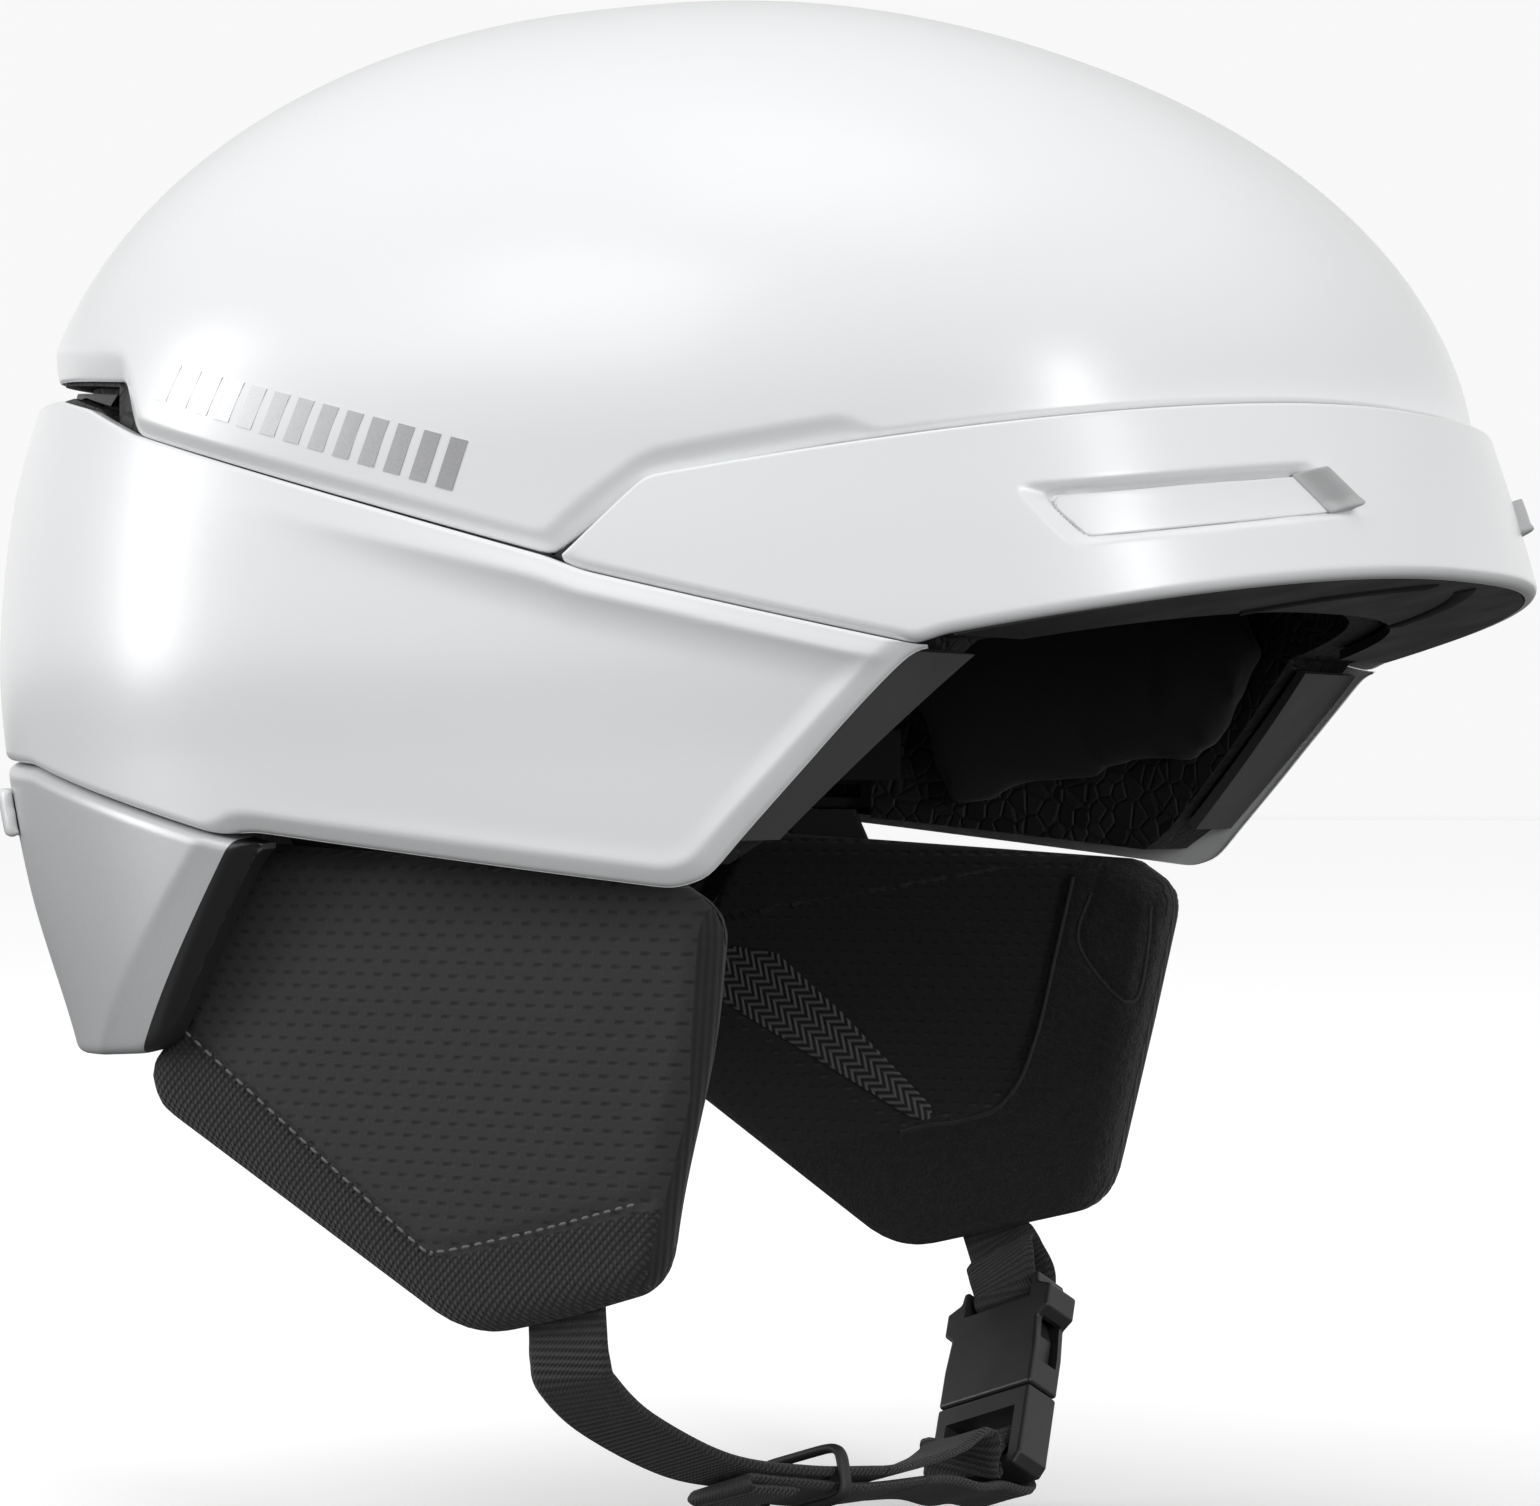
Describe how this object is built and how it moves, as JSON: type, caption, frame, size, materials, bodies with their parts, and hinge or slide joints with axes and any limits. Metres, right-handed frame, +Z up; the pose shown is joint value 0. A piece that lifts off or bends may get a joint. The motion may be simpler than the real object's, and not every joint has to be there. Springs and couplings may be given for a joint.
{
  "type": "ski helmet",
  "caption": "Hard-shell ski helmet with short brim, sliding brow vents, rear exhaust slot, silver neck guard, padded ear pads, dial fit system and buckled webbing chin strap.",
  "frame": {"origin": "midplane of the helmet, in the middle of the head cavity, where the wearer's head is seated", "axes": "+X to the front, +Y to the wearer's left, +Z up"},
  "size_m": [0.2767, 0.2222, 0.278],
  "materials": {
    "shell_white": "satin white paint over hard plastic",
    "guard_silver": "silver-grey painted plastic, fine flake",
    "trim_dark": "moulded black plastic",
    "foam_black": "black moulded bead foam",
    "brim_dark": "dark grey moulded plastic",
    "rim_grey": "dark grey satin plastic",
    "tab_grey": "light grey satin plastic",
    "pad_fabric": "black brushed knit",
    "pad_smooth": "smooth moulded comfort pad",
    "pad_knit": "spacer knit with dash dimples",
    "pad_fleece": "black fleece and mesh",
    "webbing": "ribbed nylon webbing",
    "keeper_rubber": "moulded rubber",
    "buckle_plastic": "fine-grained acetal",
    "dial_rubber": "rubber-coated knob",
    "stud_steel": "plated steel"
  },
  "bodies": {
    "root": {"crown_shell": "shell_white", "brow_shell": "shell_white", "side_shell": "shell_white", "neck_guard": "guard_silver", "rear_band": "shell_white", "rear_vent_insert": "trim_dark", "foam_liner": "foam_black", "brim_liner": "brim_dark", "crown_pad": "pad_fabric", "brow_pad": "pad_fabric", "ear_pad_studs": "stud_steel", "strap_rivets": "stud_steel", "rim_right": "rim_grey", "rim_left": "rim_grey", "vent_track_right": "shell_white", "vent_track_left": "shell_white", "temple_pad_right": "pad_smooth", "temple_pad_left": "pad_smooth", "fit_band_right": "trim_dark", "fit_band_left": "trim_dark", "ear_pad_outer_right": "pad_knit", "ear_pad_outer_left": "pad_knit", "ear_pad_inner_right": "pad_fleece", "ear_pad_inner_left": "pad_fleece", "ear_pad_plate_right": "trim_dark", "ear_pad_plate_left": "trim_dark", "strap_inner_right": "webbing", "strap_inner_left": "webbing", "strap_anchor_right": "stud_steel", "strap_anchor_left": "stud_steel"},
    "vent_slider_right": {"vent_tab_right": "tab_grey", "vent_shutter_right": "trim_dark"},
    "vent_slider_left": {"vent_tab_left": "tab_grey", "vent_shutter_left": "trim_dark"},
    "cradle": {"fit_cradle": "trim_dark", "nape_pad": "pad_fabric", "dial_housing": "trim_dark"},
    "dial": {"fit_dial": "dial_rubber", "fit_pinion": "trim_dark"},
    "chin_strap": {"strap_right": "webbing", "strap_lower": "webbing", "strap_left": "webbing", "strap_tail": "webbing", "strap_fold_left": "webbing", "buckle_socket": "buckle_plastic"},
    "keeper": {"strap_keeper": "keeper_rubber"},
    "plug": {"buckle_plug": "buckle_plastic", "strap_fold_right": "webbing"},
    "prong_front": {"buckle_prong_front": "buckle_plastic"},
    "prong_rear": {"buckle_prong_rear": "buckle_plastic"}
  },
  "joints": [
    {"name": "vent_slide_right", "type": "hinge", "parent": "root", "child": "vent_slider_right", "pos_m": [0.04891, -0.01412, 0.0438], "axis": [-0.0641, -0.0833, 0.9945], "range_deg": [-30, 0]},
    {"name": "vent_slide_left", "type": "hinge", "parent": "root", "child": "vent_slider_left", "pos_m": [0.04891, 0.01412, 0.0438], "axis": [-0.0641, 0.0833, 0.9945], "range_deg": [0, 30]},
    {"name": "cradle_slide", "type": "slide", "parent": "root", "child": "cradle", "axis": [1, 0, 0], "range_m": [0, 0.01]},
    {"name": "dial_turn", "type": "hinge", "parent": "cradle", "child": "dial", "pos_m": [-0.1057, 0, -0.043], "axis": [1, 0, 0], "range_deg": [0, 155]},
    {"name": "strap_swing", "type": "hinge", "parent": "root", "child": "chin_strap", "pos_m": [0.0055, 0, -0.0915], "axis": [0, 1, 0], "range_deg": [-20, 40]},
    {"name": "keeper_slide", "type": "slide", "parent": "chin_strap", "child": "keeper", "axis": [0.1963, 0.9635, -0.1818], "range_m": [-0.004, 0.004]},
    {"name": "buckle_release", "type": "slide", "parent": "chin_strap", "child": "plug", "axis": [0.1451, -0.5913, -0.7933], "range_m": [0, 0.025], "deforming": ["strap_lower"]},
    {"name": "prong_front_squeeze", "type": "hinge", "parent": "plug", "child": "prong_front", "pos_m": [0.02789, 0.04892, -0.11817], "axis": [-0.353, -0.78, 0.5167], "range_deg": [0, 7], "stiffness_Nm_per_rad": 0.05},
    {"name": "prong_rear_squeeze", "type": "hinge", "parent": "plug", "child": "prong_rear", "pos_m": [0.01384, 0.05204, -0.12307], "axis": [0.353, 0.78, -0.5167], "range_deg": [0, 7], "stiffness_Nm_per_rad": 0.05}
  ],
  "couplings": [
    {"joint": "dial_turn", "follows": "cradle_slide", "rad_per_m": 270}
  ]
}
